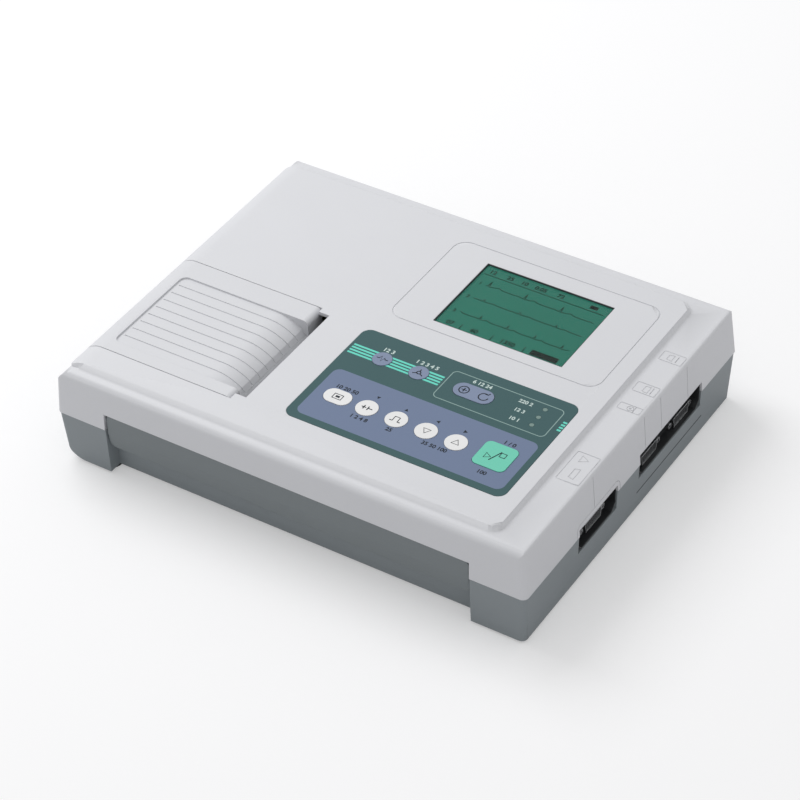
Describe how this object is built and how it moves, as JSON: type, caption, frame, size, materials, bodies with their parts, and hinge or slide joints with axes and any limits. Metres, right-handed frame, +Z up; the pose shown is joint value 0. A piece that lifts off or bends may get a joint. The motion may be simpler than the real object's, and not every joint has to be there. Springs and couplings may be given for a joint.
{
  "type": "ecg machine",
  "caption": "Desktop electrocardiograph with a hinged paper door, thermal printer, graphic screen, printed keypad, slide-out carrying handle and side sockets.",
  "frame": {"origin": "centre of the box that holds the whole machine, at its foot: the table surface under the rubber feet", "axes": "+X to the right along the front, +Y towards the back, +Z up"},
  "size_m": [0.42, 0.33, 0.0936],
  "materials": {
    "case_light": "fine moulded grain, light grey",
    "case_dark": "fine moulded grain, slate grey",
    "door_light": "fine moulded grain, light grey",
    "handle_dark": "fine moulded grain, slate grey",
    "rubber_dark": "matt rubber",
    "rubber_platen": "ground rubber",
    "steel": "plated steel",
    "brass": "turned brass",
    "gear_white": "acetal",
    "frame_grey": "zinc plated sheet",
    "aluminium": "extruded",
    "ceramic": "glazed ceramic",
    "paper": "thermal paper",
    "card": "rolled card",
    "window_clear": "clear acrylic",
    "lcd_green": "reflective liquid crystal display",
    "lcd_metal": "black painted steel",
    "board_green": "solder resist",
    "board_power": "solder resist",
    "chip_black": "moulded epoxy",
    "sheet_green": "printed polyester",
    "key_white": "printed polyester",
    "key_teal": "printed polyester",
    "key_lilac": "printed polyester",
    "light_pipe": "diffusing lens",
    "tape_yellow": "polyester tape",
    "battery_wrap": "shrink wrap",
    "socket_black": "moulded insulator"
  },
  "bodies": {
    "case": {"upper_case": "case_light", "lower_case": "case_dark", "rubber_feet": "rubber_dark", "case_screws": "steel", "handle_guides": "gear_white", "hinge_pin": "steel", "idler_stud": "steel", "drive_motor": "frame_grey", "printer_frame": "frame_grey", "print_head": "ceramic", "head_heatsink": "aluminium", "head_bracket": "frame_grey", "tear_bar": "steel", "screen_window": "window_clear", "lcd_frame": "lcd_metal", "lcd_glass": "lcd_green", "lcd_board": "board_green", "keypad_sheet": "sheet_green", "status_lights": "light_pipe", "keypad_board": "board_green", "key_switches": "chip_black", "main_board": "board_green", "board_parts": "chip_black", "input_board": "board_green", "input_shield": "steel", "power_board": "board_power", "transformer": "tape_yellow", "battery_pack": "battery_wrap", "battery_cover": "case_dark", "patient_socket": "steel", "port_sockets": "steel", "socket_inserts": "socket_black", "jack_screws": "steel", "mains_inlet": "socket_black", "switch_housing": "socket_black", "earth_post": "brass"},
    "door": {"printer_door": "door_light", "platen_bushes": "brass"},
    "platen": {"platen_shaft": "steel", "platen_rubber": "rubber_platen", "platen_gear": "gear_white"},
    "idler": {"idler_gear": "gear_white"},
    "motor_rotor": {"motor_pinion": "brass", "motor_shaft": "steel"},
    "roll": {"paper_roll": "paper", "paper_core": "card", "roll_spindle": "socket_black"},
    "handle": {"carry_handle": "handle_dark"},
    "rocker": {"power_switch": "socket_black"},
    "key_mode_cap": {"key_mode": "key_white"},
    "key_round_1_cap": {"key_round_1": "key_white"},
    "key_round_2_cap": {"key_round_2": "key_white"},
    "key_round_3_cap": {"key_round_3": "key_white"},
    "key_round_4_cap": {"key_round_4": "key_white"},
    "key_start_cap": {"key_start": "key_teal"},
    "key_small_1_cap": {"key_small_1": "key_lilac"},
    "key_small_2_cap": {"key_small_2": "key_lilac"},
    "key_double_cap": {"key_double": "key_lilac"}
  },
  "joints": [
    {"name": "door_hinge", "type": "hinge", "parent": "case", "child": "door", "pos_m": [-0.2058, -0.06525, 0.072], "axis": [0, -1, 0], "range_deg": [0, 85]},
    {"name": "platen_spin", "type": "hinge", "parent": "door", "child": "platen", "pos_m": [-0.0775, -0.06525, 0.068], "axis": [0, 1, 0], "continuous": true},
    {"name": "idler_spin", "type": "hinge", "parent": "case", "child": "idler", "pos_m": [-0.0775, -0.123, 0.048], "axis": [0, 1, 0], "continuous": true},
    {"name": "motor_spin", "type": "hinge", "parent": "case", "child": "motor_rotor", "pos_m": [-0.09037, -0.115, 0.0372], "axis": [0, 1, 0], "continuous": true},
    {"name": "roll_spin", "type": "hinge", "parent": "case", "child": "roll", "pos_m": [-0.15, -0.06525, 0.042], "axis": [0, 1, 0], "continuous": true},
    {"name": "handle_slide", "type": "slide", "parent": "case", "child": "handle", "axis": [0, -1, 0], "range_m": [0, 0.026]},
    {"name": "rocker_tilt", "type": "hinge", "parent": "case", "child": "rocker", "pos_m": [-0.097, 0.158, 0.026], "axis": [-1, 0, 0], "range_deg": [0, 16]},
    {"name": "key_mode_press", "type": "slide", "parent": "case", "child": "key_mode_cap", "axis": [0, 0, -1], "range_m": [0, 0.0005], "stiffness_N_per_m": 1500},
    {"name": "key_round_1_press", "type": "slide", "parent": "case", "child": "key_round_1_cap", "axis": [0, 0, -1], "range_m": [0, 0.0005], "stiffness_N_per_m": 1500},
    {"name": "key_round_2_press", "type": "slide", "parent": "case", "child": "key_round_2_cap", "axis": [0, 0, -1], "range_m": [0, 0.0005], "stiffness_N_per_m": 1500},
    {"name": "key_round_3_press", "type": "slide", "parent": "case", "child": "key_round_3_cap", "axis": [0, 0, -1], "range_m": [0, 0.0005], "stiffness_N_per_m": 1500},
    {"name": "key_round_4_press", "type": "slide", "parent": "case", "child": "key_round_4_cap", "axis": [0, 0, -1], "range_m": [0, 0.0005], "stiffness_N_per_m": 1500},
    {"name": "key_start_press", "type": "slide", "parent": "case", "child": "key_start_cap", "axis": [0, 0, -1], "range_m": [0, 0.0005], "stiffness_N_per_m": 1500},
    {"name": "key_small_1_press", "type": "slide", "parent": "case", "child": "key_small_1_cap", "axis": [0, 0, -1], "range_m": [0, 0.0005], "stiffness_N_per_m": 1500},
    {"name": "key_small_2_press", "type": "slide", "parent": "case", "child": "key_small_2_cap", "axis": [0, 0, -1], "range_m": [0, 0.0005], "stiffness_N_per_m": 1500},
    {"name": "key_double_press", "type": "slide", "parent": "case", "child": "key_double_cap", "axis": [0, 0, -1], "range_m": [0, 0.0005], "stiffness_N_per_m": 1500}
  ],
  "couplings": [
    {"joint": "idler_spin", "follows": "platen_spin", "ratio": -0.66667},
    {"joint": "motor_spin", "follows": "platen_spin", "ratio": 1.6667}
  ]
}
